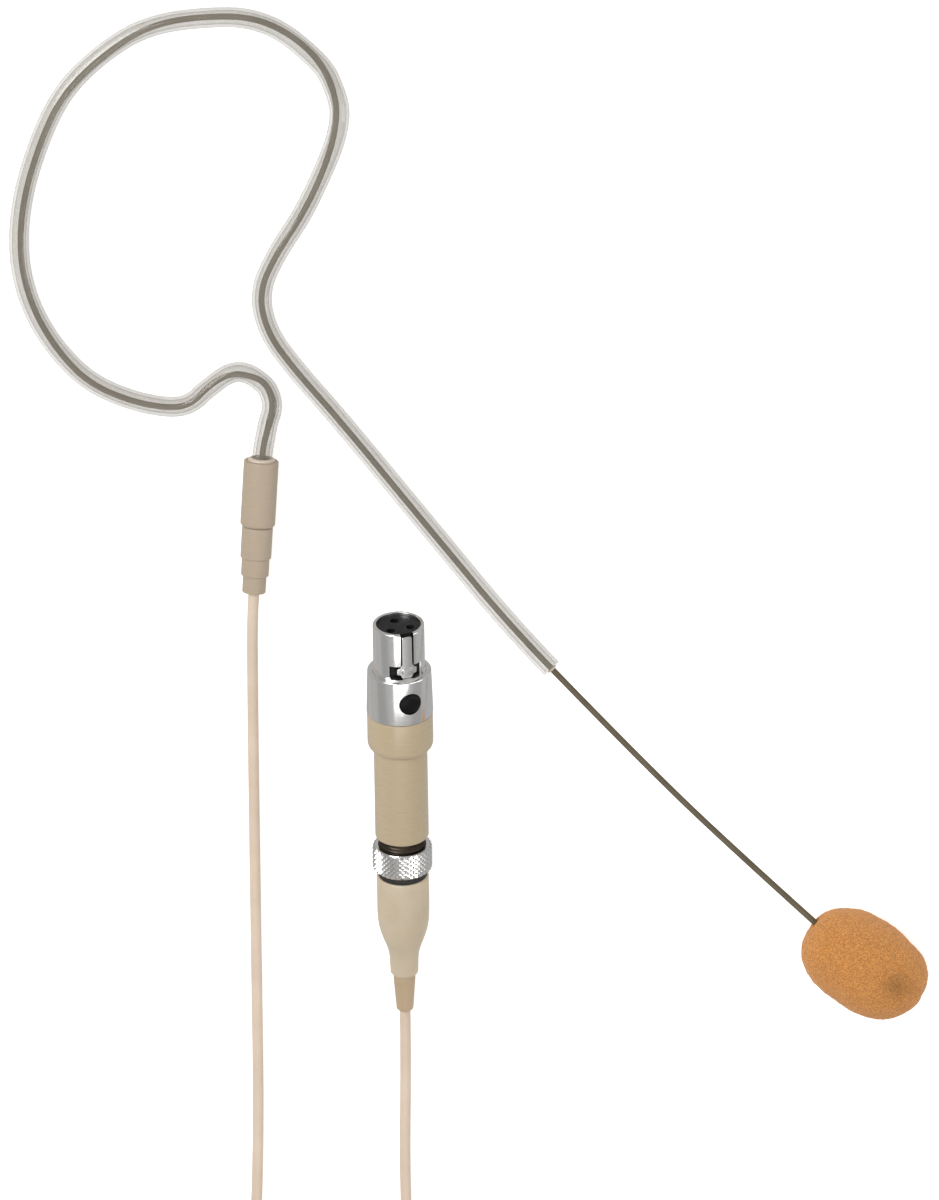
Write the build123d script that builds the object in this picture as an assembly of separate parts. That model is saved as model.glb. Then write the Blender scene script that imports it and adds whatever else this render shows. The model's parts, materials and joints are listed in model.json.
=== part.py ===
from build123d import *
import os
from math import cos, pi, radians, sin, sqrt, tan

# Single-ear headset microphone, in millimetres, lying on a table: +Z is up, and the origin is on the
# table under the middle of the earset (the earset is everything but the cable and what is on it).

# ---- driving dimensions ----------------------------------------------------------------------------
clearance = 0.05            # radial, between parts that slide or turn in each other
joint_gap = 0.12            # between the faces of the collar and the cable plug when pushed home

tube_outer_d = 3.1          # clear sleeve over the ear hook
tube_inner_d = 2.2
wire_d = 0.95               # formable boom and hook
wire_bore_d = 0.6           # hollow of the boom, for the capsule's lead
lead_d = 0.46
tube_end_ring_length = 0.35
tube_end_ring_d = 1.6

foam_length = 20.4
foam_d = 15.0
foam_bore_clearance = 0.15
foam_bore_past_cap = 0.3
capsule_d = 3.9
capsule_wall = 0.25
capsule_length = 7.5        # housing only
capsule_cap_length = 1.2
boom_bush_length = 2.8
boom_tail_length = 2.0
foam_travel = 14.0

collar_d = 5.4
collar_length = 10.5
collar_cavity_depth = 5.4
collar_wall = 0.7
collar_cavity_d = collar_d - 2 * collar_wall
collar_lip_wall = 0.45
collar_lip_length = 0.4
socket_wall = 0.4
plug_sleeve_d = collar_cavity_d - 2 * socket_wall - 2 * clearance
plug_sleeve_wall = 0.3
plug_reach = 3.6            # of the plug's sleeve into the collar
plug_pin_d = 0.6
boot_steps = [(0.6, 5.15), (1.1, 8.0), (1.76, 10.75)]   # (how much thinner than the collar, far end)
unplug_travel = 7.0

cable_d = 1.7
coil_middle_d = 18.7
coil_columns = 5
coil_layers = 4

nose_d = 8.0                # mini three-pole connector
nose_length = 7.95
nose_bore_d = nose_d - 1.1
body_front_d = nose_d + 1.9
body_rear_d = nose_d + 2.35
body_length = 7.5
nut_d = nose_d + 2.2
nut_length = 6.05
barrel_d = 8.3
barrel_length = 15.9
barrel_bore_d = 6.4
neck_d = 7.4
neck_visible = 1.65
ring_d = 9.15
ring_length = 4.25
ring_lip = 0.4
thread_engaged = 3.0
thread_pitch = 0.75
ferrule_neck_d = 6.0
ferrule_bore_d = 3.2
connector_pin_d = 0.56
socket_d = 1.1
boot_gap = 1.2
boot_d = 8.1
boot_length = 17.8
boot_neck_d = 4.3
relief_d = 3.4
relief_end_d = 2.5
relief_length = 6.55

slot_width = 2.1
slot_length = 5.5
window_width = 5.3
window_length = 2.2
latch_width = 1.5
latch_thickness = 0.35
latch_hook_proud = 0.15
button_d = 3.5
button_proud = 0.4
button_travel = 0.3
button_skin = 0.4           # of the shell over the button's flange
latch_pin_d = 0.6
contact_circle_r = 1.85
contact_d = 1.35
contact_sink = 2.6          # from the nose's tip to the contact tubes
contact_wall = 0.15

# ---- places ----------------------------------------------------------------------------------------
floor_gap = 0.01
collar_axis_z = collar_d / 2
collar_face = Vector(-32.4, -2.1, collar_axis_z)       # where the cable plug meets the collar
collar_lean = 3.4                                      # degrees off +Y
nose_tip = Vector(-10.55, -13.4, 18.85)
connector_lean = 0.76                                  # degrees off -Y, towards the cable
connector_rise = 14.0                                  # the nose stands this far up off the table
latch_roll = 20.0                                      # latch and button, turned from straight up

# Ear hook and boom from the collar on: corners of the route of the wire's middle line.
low = tube_outer_d / 2 + 0.02
hook_points = [
    (-31.6, 10.2, collar_axis_z), (-30.4, 13.6, 2.6), (-29.3, 17.2, 2.3), (-31.1, 21.2, 1.9), (-35.5, 22.1, 1.65),
    (-39.7, 20.0, low), (-42.8, 16.8, low), (-46.6, 16.4, low), (-52.5, 17.7, low), (-58.3, 20.4, low),
    (-62.6, 24.9, low), (-66.2, 30.7, low), (-68.5, 37.5, low), (-69.0, 44.4, low), (-68.0, 51.7, low),
    (-65.7, 58.5, low), (-62.5, 65.1, low), (-58.1, 70.5, low), (-52.7, 75.0, low), (-46.8, 77.6, low),
    (-40.3, 78.7, low), (-33.6, 78.7, low), (-27.4, 76.1, low), (-22.6, 72.0, low), (-20.0, 66.8, low),
    (-20.1, 60.6, low), (-22.1, 53.8, low), (-25.2, 47.1, low), (-29.3, 40.8, low), (-31.9, 34.7, low),
    (-30.5, 28.4, 1.71), (-26.2, 22.5, 2.04), (-19.5, 14.8, 2.51), (-4.4, -3.9, 3.55),
]
tube_end = Vector(13.05, -24.40, 4.70)
boom_bends = [(25.14, -37.12, 5.40), (39.79, -51.65, 6.30)]
boom_reach = 29.6                                      # from the last bend to the foam's middle
tube_end_run = 9.0                                     # straight end of the sleeve, in line with the boom
boom_way = (Vector(61.62, -71.60, 7.55) - Vector(*boom_bends[-1])).normalized()
foam_middle = Vector(*boom_bends[-1]) + boom_way * boom_reach

# Cable: from the collar's plug to the coil, and from the coil to the connector.
cable_z = cable_d / 2 + floor_gap
coil_middle = Vector(-21.1, -129.8, 0)
ear_cable_first_run = 4.0
ear_cable_points = [
    (-33.3, -25.2, 2.2), (-33.2, -40.8, cable_z), (-32.9, -69.8, cable_z), (-32.5, -103.8, cable_z),
]
plug_cable_points = [
    (-9.35, -118.0, cable_z), (-9.75, -105.5, cable_z), (-9.6, -94.0, cable_z),
]
plug_cable_last_run = 5.0

collar_way = Vector(sin(radians(collar_lean)), cos(radians(collar_lean)), 0)
connector_across = Vector(cos(radians(connector_lean)), sin(radians(connector_lean)), 0)
level_way = Vector(sin(radians(connector_lean)), -cos(radians(connector_lean)), 0)
connector_way = level_way * cos(radians(connector_rise)) - Vector(0, 0, sin(radians(connector_rise)))
connector_lift = connector_way.cross(connector_across)
latch_way = connector_across * sin(radians(latch_roll)) + connector_lift * cos(radians(latch_roll))

# Local frames: Z runs up the collar, out along the boom, and from the connector's nose to its cable.
collar_frame = Plane(origin=collar_face, x_dir=(0, 0, 1), z_dir=collar_way)
foam_frame = Plane(origin=foam_middle, x_dir=boom_way.cross(Vector(0, 0, 1)), z_dir=boom_way)
connector_frame = Plane(origin=nose_tip, x_dir=latch_way, z_dir=connector_way)

# Stations along the connector, from the nose's tip.
body_start = nose_length
body_end = body_start + body_length
nut_end = body_end + nut_length
barrel_end = nut_end + barrel_length
ring_start = barrel_end + neck_visible
ring_end = ring_start + ring_length
thread_end = ring_start + thread_engaged
boot_start = ring_end + boot_gap
boot_end = boot_start + boot_length
relief_end = boot_end + relief_length

nodes = {}


# ---- helpers ---------------------------------------------------------------------------------------
def rod(diameter, start, end):
    """A cylinder on the Z axis from start to end."""
    low_end = (Align.CENTER, Align.CENTER, Align.MIN)
    return Pos(0, 0, start) * Cylinder(diameter / 2, end - start, align=low_end)


def pipe(outer_d, inner_d, start, end):
    """A hollow cylinder on the Z axis."""
    return rod(outer_d, start, end) - rod(inner_d, start - 1, end + 1)


def block(x_range, y_range, z_range):
    """A box given by its lowest and highest value on each axis."""
    size = [high - low_value for low_value, high in (x_range, y_range, z_range)]
    middle = [(high + low_value) / 2 for low_value, high in (x_range, y_range, z_range)]
    return Pos(*middle) * Box(*size)


def turned(*edges):
    """A solid of revolution about Z from edges drawn in the XZ plane, closed along the axis."""
    return revolve(make_face(Curve() + list(edges)), Axis.Z)


def profile(points):
    """A solid of revolution about Z from (radius, z) points."""
    return revolve(make_face(Polyline([(r, 0, z) for r, z in points], close=True)), Axis.Z)


def around(radius, count, diameter):
    """Small drill holes on a circle round the Z axis."""
    return [spot * Cylinder(diameter / 2, 9) for spot in PolarLocations(radius, count)]


def add(name, frame, shape):
    """Put a shape made in a local frame into the model under its node's name."""
    nodes[name] = frame.location * shape if frame else shape


def route(points):
    """Straight runs joined by tangent arcs, each arc as large as its two runs allow."""
    at = [Vector(*p) for p in points]
    radii = []
    for before, here, after in zip(at, at[1:], at[2:]):
        turn = radians((here - before).get_angle(after - here))
        radii.append(0.45 * min((here - before).length, (after - here).length) / tan(turn / 2))
    return FilletPolyline(*at, radius=radii), radii


def swept(path, outer_d, inner_d=0):
    """A round rod or tube along a path."""
    section = Circle(outer_d / 2)
    if inner_d:
        section = section - Circle(inner_d / 2)
    return sweep(Plane(origin=path @ 0, z_dir=path % 0) * section, path=path)


# ---- ear hook and boom -----------------------------------------------------------------------------
def ear_hook():
    start = collar_face + collar_way * (collar_cavity_depth + 0.1)
    last_corner = tube_end - (Vector(*boom_bends[0]) - tube_end).normalized() * tube_end_run
    to_tube_end, radii = route([start, *hook_points, last_corner, tube_end])
    print("hook radii", [round(r, 1) for r in radii])
    add("ear_tube", None, swept(to_tube_end, tube_outer_d, tube_inner_d))
    add("ear_wire", None, swept(to_tube_end, wire_d, wire_bore_d))
    last_way = to_tube_end % 1
    ring_frame = Plane(origin=to_tube_end @ 1, z_dir=last_way)
    ring = pipe(tube_end_ring_d, wire_d + 0.04, 0.02, tube_end_ring_length)
    add("tube_end_ring", ring_frame, chamfer(ring.edges().group_by(Axis.Z)[-1], 0.1))

    boom_start = (to_tube_end @ 1) + last_way * 0.01
    boom_end = foam_middle - boom_way * (capsule_length - boom_bush_length)
    boom_path, boom_radii = route([boom_start, *boom_bends, boom_end])
    print("boom radii", [round(r, 1) for r in boom_radii])
    add("boom_rod", None, swept(boom_path, wire_d, wire_bore_d))
    lead_end = foam_middle - boom_way * 2.6
    lead_points = [start, *hook_points, last_corner, *boom_bends, lead_end]
    lead_path = FilletPolyline(*lead_points, radius=radii + boom_radii)
    add("capsule_lead", None, swept(lead_path, lead_d))


# ---- capsule and windscreen, Z out along the boom from the foam's middle ---------------------------
def capsule():
    inner_d = capsule_d - 2 * capsule_wall
    housing = pipe(capsule_d, inner_d, -capsule_length, 0)
    add("capsule_housing", foam_frame, housing)

    cap = rod(capsule_d, 0, capsule_cap_length) - rod(inner_d, -1, capsule_cap_length - 0.3)
    cap = fillet(cap.edges().group_by(Axis.Z)[-1], 0.2)
    add("capsule_cap", foam_frame, cap - around(capsule_d / 4, 6, 0.44) - Cylinder(0.22, 9))

    part_d = inner_d - 0.04
    add("diaphragm_ring", foam_frame, pipe(part_d, part_d - 0.7, -0.32, 0.1))
    add("capsule_diaphragm", foam_frame, rod(part_d, -0.38, -0.32))
    add("diaphragm_spacer", foam_frame, pipe(part_d, part_d - 0.5, -0.46, -0.38))
    add("capsule_backplate", foam_frame, rod(part_d, -0.9, -0.46) - around(0.9, 4, 0.4))
    add("backplate_holder", foam_frame, pipe(part_d, part_d - 0.7, -2.0, -0.9))
    add("preamp_board", foam_frame, rod(part_d, -2.4, -2.0))
    add("preamp_chip", foam_frame, block((-0.5, 0.5), (-0.4, 0.4), (-2.0, -1.5)))

    bush_start = -capsule_length
    bush = rod(part_d, bush_start, bush_start + boom_bush_length)
    tail = profile([
        (0, bush_start - boom_tail_length), (wire_d / 2 + 0.3, bush_start - boom_tail_length),
        (capsule_d / 2 - 0.1, bush_start), (0, bush_start),
    ])
    bush = bush + tail - rod(wire_d, bush_start - 9, bush_start + 9)
    add("boom_bush", foam_frame, bush)


def windscreen():
    """Egg-shaped foam with a blind bore that pushes over the capsule."""
    half = foam_length / 2
    outline = EllipticalCenterArc((0, 0), foam_d / 2, half, start_angle=-90, arc_size=180)
    outline = Plane.XZ * outline
    axis_line = Line((0, 0, -half), (0, 0, half))
    egg = revolve(make_face(Curve() + [outline, axis_line]), Axis.Z)
    bore_end = capsule_cap_length + foam_bore_past_cap
    egg = egg - rod(capsule_d + 2 * foam_bore_clearance, -half - 1, bore_end)
    add("foam_windscreen", foam_frame, egg)


# ---- collar on the ear hook, Z up the collar from the parting face ---------------------------------
def collar():
    bore_d = tube_outer_d + 0.2
    shell = rod(collar_d, joint_gap / 2, collar_length)
    shell = chamfer(shell.edges().group_by(Axis.Z)[0], 0.3)
    shell = fillet(shell.edges().group_by(Axis.Z)[-1], 0.3)
    shell = shell - rod(collar_cavity_d, -1, collar_cavity_depth) - rod(bore_d, 0, collar_length + 1)
    add("collar_shell", collar_frame, shell)
    lip_end = collar_length + collar_lip_length
    add("collar_lip", collar_frame, pipe(bore_d + 2 * collar_lip_wall, bore_d, collar_length, lip_end))

    sleeve_bore = plug_sleeve_d + 2 * clearance
    sleeve_end = collar_cavity_depth - 1.0
    add("socket_sleeve", collar_frame, pipe(collar_cavity_d, sleeve_bore, 0.3, sleeve_end))
    contact_bore = plug_pin_d + 2 * clearance
    contact_d_outer = contact_bore + 0.5
    disc = pipe(collar_cavity_d, contact_d_outer, sleeve_end, collar_cavity_depth - 0.1)
    add("socket_insulator", collar_frame, disc)
    contact = rod(contact_d_outer, 0.8, collar_cavity_depth - 0.1)
    contact = contact - rod(contact_bore, 0, sleeve_end - 0.4)
    add("socket_contact", collar_frame, contact)


# ---- cable plug under the collar -------------------------------------------------------------------
def collar_plug():
    cavity_end = -4.2
    start = -joint_gap / 2
    boot = Part()
    for thinner, far_end in boot_steps:
        boot = boot + chamfer(rod(collar_d - thinner, -far_end, start).edges().group_by(Axis.Z)[0], 0.12)
    boot = boot - rod(plug_sleeve_d, cavity_end, 1)
    add("collar_plug_boot", collar_frame, boot)

    sleeve_bore = plug_sleeve_d - 2 * plug_sleeve_wall
    sleeve = pipe(plug_sleeve_d, sleeve_bore, cavity_end + 0.2, plug_reach)
    add("plug_sleeve", collar_frame, chamfer(sleeve.edges().group_by(Axis.Z)[-1], 0.1))
    add("plug_insulator", collar_frame, pipe(sleeve_bore, plug_pin_d, cavity_end + 0.2, 0.4))
    pin = rod(plug_pin_d, cavity_end + 0.2, plug_reach - 0.6)
    add("plug_pin", collar_frame, fillet(pin.edges().group_by(Axis.Z)[-1], 0.2))


# ---- cable -----------------------------------------------------------------------------------------
def cables():
    outer_turn = coil_middle_d / 2 + (coil_columns - 1) / 2 * cable_d
    boot_end_z = boot_steps[-1][1]
    left_start = collar_face - collar_way * boot_end_z
    left_end = coil_middle + Vector(-outer_turn, 0, cable_z)
    left_corner = left_start - collar_way * ear_cable_first_run
    left, left_radii = route([left_start, left_corner, *ear_cable_points, left_end])
    right_start = coil_middle + Vector(outer_turn + cable_d, 0, cable_z)
    right_end = nose_tip + connector_way * relief_end
    right_corner = right_end + connector_way * plug_cable_last_run
    right, right_radii = route([right_start, *plug_cable_points, right_corner, right_end])
    for name, path, radii in (("ear_cable", left, left_radii), ("plug_cable", right, right_radii)):
        tube = swept(path, cable_d)
        add(name, None, tube)
        share = tube.volume / (pi * cable_d ** 2 / 4 * path.length)
        print(name, "radii", [round(r, 1) for r in radii], "length", round(path.length, 1),
              "volume over section times length", round(share, 4))

    height = coil_layers * cable_d + floor_gap
    outer_r = outer_turn + cable_d * 1.5
    inner_r = coil_middle_d / 2 - coil_columns / 2 * cable_d
    ring = pipe(2 * outer_r, 2 * inner_r, floor_gap, height)
    ring = fillet(ring.edges().filter_by(GeomType.CIRCLE), cable_d / 2)
    add("cable_coil", Plane(origin=coil_middle), ring)


# ---- connector: adapter half -----------------------------------------------------------------------
arm_top = nose_bore_d / 2 + 0.4            # outer face of the latch, from the connector's axis
arm_bottom = arm_top - latch_thickness
latch_pivot = body_end + 2.5               # station of the latch's pin
pivot_x = arm_bottom - 0.2
button_station = (body_start + body_end) / 2
spigot_d = nut_d - 1.4
latch_pin_length = 2 * sqrt((spigot_d / 2) ** 2 - (pivot_x + latch_pin_d / 2) ** 2) - 0.16
slot_floor = arm_bottom - 0.95             # flat under the latch, in the insert and the shell
rear_bore_d = nose_bore_d + 0.9
insert_end = nose_length + 2.3


def nose_shell():
    bead_d = nose_d + 0.5
    shell = profile([
        (0, 0), (nose_d / 2, 0), (nose_d / 2, nose_length - 0.5), (bead_d / 2, nose_length - 0.35),
        (bead_d / 2, nose_length), (body_front_d / 2, nose_length), (body_rear_d / 2, body_end),
        (spigot_d / 2, body_end), (spigot_d / 2, body_end + 3.4), (0, body_end + 3.4),
    ])
    rim = shell.edges().group_by(Axis.Z)[0]
    shell = fillet(rim, 0.2)
    shell = shell - rod(nose_bore_d, -1, insert_end) - rod(rear_bore_d, insert_end, body_end + 9)
    half_slot = slot_width / 2
    shell = shell - block((slot_floor, nose_d / 2 + 1), (-half_slot, half_slot), (-1, slot_length))
    shell = shell - block((slot_floor, nose_d / 2 + 0.6), (-window_width / 2, window_width / 2),
                          (slot_length - 0.05, slot_length + window_length))
    arm_room = block((slot_floor, arm_top + 0.1), (-latch_width / 2 - 0.25, latch_width / 2 + 0.25),
                     (slot_length, body_end + 9))
    shell = shell - arm_room
    pocket_d = button_d + 1.0
    radial = Plane(origin=(0, 0, button_station), z_dir=(1, 0, 0))
    shell = shell - radial.location * rod(pocket_d, slot_floor, body_front_d / 2 - button_skin)
    shell = shell - radial.location * rod(button_d + 2 * clearance, slot_floor, body_rear_d)
    pin_place = Pos(pivot_x, 0, latch_pivot) * Rot(90, 0, 0)
    pin_hole = pin_place * Cylinder(latch_pin_d / 2, latch_pin_length + 0.1)
    add("nose_shell", connector_frame, shell - pin_hole)
    add("latch_pin", connector_frame, pin_place * Cylinder(latch_pin_d / 2, latch_pin_length))


def latch():
    half = latch_width / 2
    arm = block((arm_bottom, arm_top), (-half, half), (0.6, latch_pivot))
    hook_top = nose_d / 2 + latch_hook_proud
    hook = block((arm_bottom, hook_top), (-half, half), (slot_length + 0.5, slot_length + 1.5))
    wing_reach = half + 0.7
    wings = block((arm_bottom, arm_top), (-wing_reach, wing_reach), (slot_length + 0.5, slot_length + 1.3))
    eye = Pos(pivot_x, 0, latch_pivot) * Rot(90, 0, 0) * Cylinder(0.6, latch_width)
    hole = Pos(pivot_x, 0, latch_pivot) * Rot(90, 0, 0) * Cylinder(latch_pin_d / 2 + clearance, 9)
    add("latch", connector_frame, arm + hook + wings + eye - hole)


def release_button():
    bottom = arm_top + 0.15
    skin = body_front_d / 2 - button_skin
    top = body_front_d / 2 + button_proud
    r = button_d / 2
    flange = r + 0.3
    dome_h = 0.35
    dome_r = (r ** 2 + dome_h ** 2) / (2 * dome_h)
    dome_middle_z = top - dome_r + sqrt(dome_r ** 2 - r ** 2 / 4)
    dome = ThreePointArc((r, 0, top - dome_h), (r / 2, 0, dome_middle_z), (0, 0, top))
    sides = Polyline([
        (0, 0, top), (0, 0, bottom), (flange, 0, bottom), (flange, 0, skin - 0.25),
        (r, 0, skin - 0.25), (r, 0, top - dome_h),
    ])
    button = revolve(make_face(Curve() + [dome, sides]), Axis.Z)
    radial = Plane(origin=(0, 0, button_station), z_dir=(1, 0, 0))
    add("release_button", connector_frame, radial.location * button)


def contact_insert():
    insert = rod(nose_bore_d - 2 * clearance, 0.5, insert_end)
    insert = insert + rod(rear_bore_d - 0.1, insert_end, insert_end + 1)
    insert = insert - block((slot_floor, 9), (-2.6, 2.6), (-1, insert_end + 3))
    contacts = Part()
    for angle in (60, 180, 300):
        spot = Pos(contact_circle_r * cos(radians(angle)), contact_circle_r * sin(radians(angle)), 0)
        insert = insert - spot * rod(contact_d, -1, insert_end + 3)
        tube = pipe(contact_d - 0.04, contact_d - 0.04 - 2 * contact_wall, contact_sink, 6.0)
        tail = rod(contact_d - 0.04, 6.0, insert_end + 1.2) + rod(0.5, insert_end + 1.2, insert_end + 3)
        contacts = contacts + spot * (tube + tail)
    add("contact_insert", connector_frame, insert)
    add("insert_contacts", connector_frame, contacts)


def barrel():
    flange_start = body_end + 3.5
    nut = rod(nut_d, body_end + 0.02, nut_end)
    nut = fillet(nut.edges().group_by(Axis.Z)[-1], 0.7)
    nut = nut - rod(spigot_d + 2 * clearance, body_end - 1, nut_end - 0.6)
    nut = nut - rod(barrel_d + 2 * clearance, nut_end - 2, nut_end + 1)
    add("adapter_nut", connector_frame, nut)
    tube = rod(barrel_d, flange_start, barrel_end) + rod(spigot_d, flange_start, nut_end - 0.65)
    tube = fillet(tube.edges().group_by(Axis.Z)[-1], 0.25)
    add("adapter_barrel", connector_frame, tube - rod(barrel_bore_d, body_end - 9, barrel_end + 1))

    bore = neck_d - 3.0
    stub = rod(barrel_bore_d, barrel_end - 5, barrel_end) + rod(neck_d, barrel_end + 0.02, thread_end)
    stub = stub + rod(barrel_bore_d, barrel_end - 1, barrel_end + 1)
    stub = stub - rod(bore, barrel_end - 9, thread_end + 1)
    add("thread_stub", connector_frame, stub)
    add("socket_carrier", connector_frame, pipe(bore, socket_d, barrel_end - 4, ring_start - 0.8))
    pin_bore = connector_pin_d + 2 * clearance
    socket = rod(socket_d, barrel_end - 4.5, ring_start + 0.8)
    socket = socket - rod(pin_bore, barrel_end - 1, ring_start + 9)
    add("adapter_socket", connector_frame, socket)


# ---- connector: cable half -------------------------------------------------------------------------
def lock_ring():
    bore = neck_d + 2 * clearance
    ring = rod(ring_d, ring_start, ring_end)
    ring = chamfer(ring.edges().group_by(Axis.Z)[0], 0.25)
    ring = chamfer(ring.edges().group_by(Axis.Z)[-1], 0.25)
    ring = ring - rod(bore, ring_start - 1, ring_end - ring_lip)
    ring = ring - rod(ferrule_neck_d + 2 * clearance, ring_start, ring_end + 1)
    add("lock_ring", connector_frame, ring)


def cable_connector():
    flange_end = ring_end - ring_lip - clearance
    flange = rod(neck_d, thread_end + clearance, flange_end)
    neck = rod(ferrule_neck_d, flange_end - 0.1, boot_start + 4)
    nose = rod(neck_d - 3.0 - 2 * clearance, ring_start - 0.3, flange_end)
    ferrule = flange + neck + nose - rod(ferrule_bore_d, ring_start - 9, boot_start + 9)
    add("connector_ferrule", connector_frame, ferrule)
    insulator = pipe(ferrule_bore_d, connector_pin_d, thread_end, boot_start + 2)
    add("connector_insulator", connector_frame, insulator)
    pin = rod(connector_pin_d, ring_start - 0.9, boot_start + 3)
    add("connector_pin", connector_frame, fillet(pin.edges().group_by(Axis.Z)[0], 0.2))
    seal = pipe(boot_d - 0.4, ferrule_neck_d, ring_end + clearance, boot_start - 0.02)
    add("boot_seal", connector_frame, fillet(seal.edges().filter_by(GeomType.CIRCLE), 0.2))

    r = boot_d / 2
    neck_r = boot_neck_d / 2
    taper_start = boot_start + 0.4 * boot_length
    taper_end = boot_start + 0.76 * boot_length
    waist = (r + neck_r) / 2
    middle = (taper_start + taper_end) / 2 + 0.7
    shoulder = (r - 0.3, 0, (taper_start + middle) / 2 + 0.3)
    hollow = (neck_r + 0.25, 0, (middle + taper_end) / 2)
    first = ThreePointArc((r, 0, taper_start), shoulder, (waist, 0, middle))
    second = ThreePointArc((waist, 0, middle), hollow, (neck_r, 0, taper_end))
    sides = Polyline([
        (neck_r, 0, taper_end), (neck_r, 0, boot_end - 0.3), (neck_r - 0.3, 0, boot_end),
        (0, 0, boot_end), (0, 0, boot_start), (r - 0.2, 0, boot_start), (r, 0, boot_start + 0.2),
        (r, 0, taper_start),
    ])
    boot = revolve(make_face(Curve() + [first, second, sides]), Axis.Z)
    boot = boot - rod(ferrule_neck_d, boot_start - 1, boot_start + 5)
    add("connector_boot", connector_frame, boot)
    relief = profile([
        (0, boot_end), (relief_d / 2, boot_end), (relief_end_d / 2, relief_end), (0, relief_end),
    ])
    add("cable_relief", connector_frame, relief)


ear_hook()
capsule()
windscreen()
collar()
collar_plug()
cables()
nose_shell()
latch()
release_button()
contact_insert()
barrel()
lock_ring()
cable_connector()

os.makedirs("parts", exist_ok=True)
for name, shape in nodes.items():
    solids = shape.solids()
    export_step(solids[0] if len(solids) == 1 else Compound(solids), f"parts/{name}.step")
print(len(nodes), "nodes")
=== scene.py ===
import bpy
import bmesh
import json
import math
from mathutils import Matrix, Vector, noise


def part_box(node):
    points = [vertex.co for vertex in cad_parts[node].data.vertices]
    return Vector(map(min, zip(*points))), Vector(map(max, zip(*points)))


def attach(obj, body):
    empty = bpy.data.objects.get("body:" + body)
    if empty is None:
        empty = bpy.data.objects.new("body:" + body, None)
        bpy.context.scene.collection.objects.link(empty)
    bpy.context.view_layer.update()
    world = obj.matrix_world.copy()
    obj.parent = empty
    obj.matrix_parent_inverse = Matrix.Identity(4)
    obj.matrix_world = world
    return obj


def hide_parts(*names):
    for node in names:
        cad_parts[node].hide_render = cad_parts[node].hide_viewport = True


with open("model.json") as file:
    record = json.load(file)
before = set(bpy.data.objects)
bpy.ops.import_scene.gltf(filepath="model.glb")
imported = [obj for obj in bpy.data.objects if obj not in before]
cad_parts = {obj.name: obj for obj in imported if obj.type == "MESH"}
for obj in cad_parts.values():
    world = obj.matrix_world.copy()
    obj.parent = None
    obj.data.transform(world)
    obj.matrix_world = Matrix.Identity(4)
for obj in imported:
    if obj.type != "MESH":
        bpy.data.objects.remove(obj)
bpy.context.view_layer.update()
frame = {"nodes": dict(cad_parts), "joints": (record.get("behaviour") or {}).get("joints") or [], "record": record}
record = frame["record"]
jointOf = {j["name"]: j for j in frame["joints"]}
mountOf = {m["name"]: m for m in record["mounts"]}
mm = 0.001


# camera, over the table and leaning a little towards the top of the hook

shot = {"away": 2.4, "lean": 15.0, "seenHeight": 0.18605, "aim": (0.0004, -0.0142, 0.002)}


def makeCamera():
    data = bpy.data.cameras.new("camera")
    data.sensor_width = 36.0
    data.lens = data.sensor_width * shot["away"] / shot["seenHeight"]
    data.clip_end = 50
    cam = bpy.data.objects.new("camera", data)
    lean = math.radians(shot["lean"])
    back = Vector((0, math.sin(lean), math.cos(lean)))
    cam.location = Vector(shot["aim"]) + back * shot["away"]
    cam.rotation_euler = (-lean, 0, 0)
    bpy.context.scene.collection.objects.link(cam)
    bpy.context.scene.camera = cam


makeCamera()
print("camera ready")


# local frames of the turned pieces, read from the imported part

def axisPlace(origin, way, side):
    z = Vector(way).normalized()
    x = (Vector(side) - z * z.dot(Vector(side))).normalized()
    y = z.cross(x)
    place = Matrix((x, y, z)).transposed().to_4x4()
    place.translation = origin
    return place


def middleOf(node):
    low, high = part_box(node)
    return (low + high) / 2


up = Vector((0, 0, 1))
towardCable = Vector(jointOf["lock_ring_turn"]["axis"])
noseMount = Vector(mountOf["connector_nose"]["pos_m"])
latchWay = -Vector(jointOf["button_press"]["axis"])
noseStation = 3.8           # from the nose's tip to its mount, in millimetres
connectorPlace = axisPlace(noseMount - towardCable * noseStation * mm, towardCable, latchWay)

downCollar = Vector(jointOf["cable_unplug"]["axis"])
collarHalf = 5.28 * mm      # from the collar's middle to the parting face
collarFace = middleOf("collar_shell") + downCollar * collarHalf
collarPlace = axisPlace(collarFace, -downCollar, up)

alongBoom = Vector(jointOf["windscreen_pull"]["axis"])
foamPlace = axisPlace(middleOf("foam_windscreen"), alongBoom, up)


# routes

cordSizes = {
    "wide": 1.7 * mm, "bootEnd": 10.75 * mm, "firstRun": 4.0 * mm, "lastRun": 5.0 * mm,
    "reliefEnd": 68.85 * mm, "floor": 0.86 * mm, "length": 1.27,
    "coilMiddle": (-0.0211, -0.1298), "coilOuter": 12.75 * mm, "coilInner": 5.95 * mm,
    "layers": 4, "layerTurns": 4, "liftTurns": 0.5, "pointsPerTurn": 16,
}
earCablePoints = [
    (-0.0333, -0.0252, 0.0022), (-0.0332, -0.0408, 0.00086), (-0.0329, -0.0698, 0.00086),
    (-0.0325, -0.1038, 0.00086),
]
plugCablePoints = [
    (-0.00935, -0.118, 0.00086), (-0.00975, -0.1055, 0.00086), (-0.0096, -0.094, 0.00086),
]


def ease(t):
    t = min(max(t, 0.0), 1.0)
    return t * t * (3 - 2 * t)


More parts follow.
